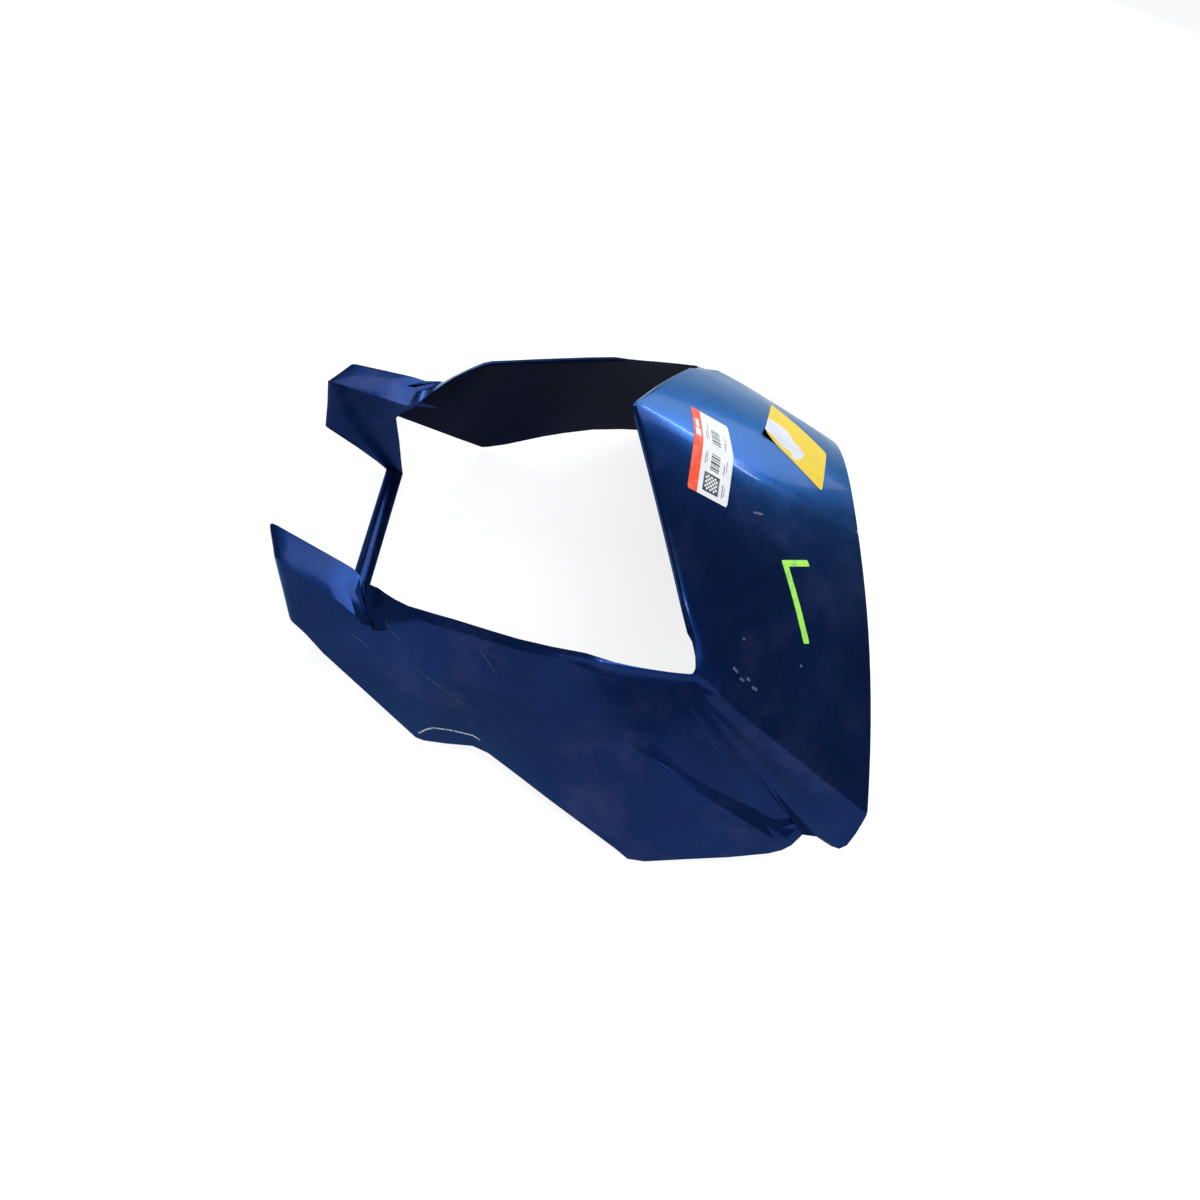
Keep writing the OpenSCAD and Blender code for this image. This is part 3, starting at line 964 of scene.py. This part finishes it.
def add_camera(scene, lens):
    """Camera at the photographer's place, which was found in the level pose."""
    data = bpy.data.cameras.new("camera")
    data.sensor_fit = "AUTO"
    data.sensor_width = 36.0
    data.lens = lens
    data.clip_start, data.clip_end = 0.01, 60.0
    camera = bpy.data.objects.new("camera", data)
    scene.collection.objects.link(camera)
    across, along = math.cos(EYE_AZIMUTH), math.sin(EYE_AZIMUTH)
    flat, steep = math.cos(EYE_ELEVATION), math.sin(EYE_ELEVATION)
    right = Vector((across, along, 0.0))
    back = Vector((along * flat, -across * flat, steep))
    level = Matrix((right, back.cross(right), back)).transposed().to_4x4()
    level.translation = EYE
    camera.matrix_world = REST @ level
    scene.camera = camera


class FairingStage(bpy.types.Operator):
    """Sets the pale floor, the lights, the surroundings and the photographer's camera"""

    bl_idname = "fairing.stage"
    bl_label = "Stage"

    def execute(self, context):
        scene = context.scene
        settings = scene.fairing_stage
        add_floor(scene, settings.floor_size)
        for name, direction, distance, sides, power, colour in LIGHTS:
            area_light(scene, name, direction, distance, sides, getattr(settings, power), colour)
        even_world(scene, settings.fill_strength)
        add_camera(scene, settings.lens)
        scene.view_settings.view_transform = "Standard"
        return {"FINISHED"}


GROUPS = (
    ("fairing_paint", PaintSettings),
    ("fairing_label", LabelSettings),
    ("fairing_sticker", StickerSettings),
    ("fairing_marks", MarkSettings),
    ("fairing_stage", StageSettings),
)
OPERATORS = (FairingPaint, FairingLabel, FairingSticker, FairingMarks, FairingStage)


class FairingPanel(bpy.types.Panel):
    """Lists the pieces and the stage, each with its settings"""

    bl_idname = "VIEW3D_PT_fairing"
    bl_label = "Front fairing"
    bl_space_type = "VIEW_3D"
    bl_region_type = "UI"
    bl_category = "Fairing"

    def draw(self, context):
        column = self.layout.column()
        for (group, _), operator in zip(GROUPS, OPERATORS):
            column.operator(operator.bl_idname)
            settings = getattr(context.scene, group)
            for name in settings.bl_rna.properties.keys():
                if name not in ("rna_type", "name"):
                    column.prop(settings, name)


CLASSES = (*OPERATORS, FairingPanel)


def register():
    for name, group in GROUPS:
        bpy.utils.register_class(group)
        setattr(bpy.types.Scene, name, bpy.props.PointerProperty(type=group))
    for cls in CLASSES:
        bpy.utils.register_class(cls)


def unregister():
    for cls in reversed(CLASSES):
        bpy.utils.unregister_class(cls)
    for name, group in reversed(GROUPS):
        delattr(bpy.types.Scene, name)
        bpy.utils.unregister_class(group)


def main():
    register()
    bpy.ops.fairing.stage()
    bpy.ops.fairing.paint_shell()
    bpy.ops.fairing.paper_label()
    bpy.ops.fairing.yellow_sticker()
    bpy.ops.fairing.use_marks()


if __name__ == "__main__":
    main()
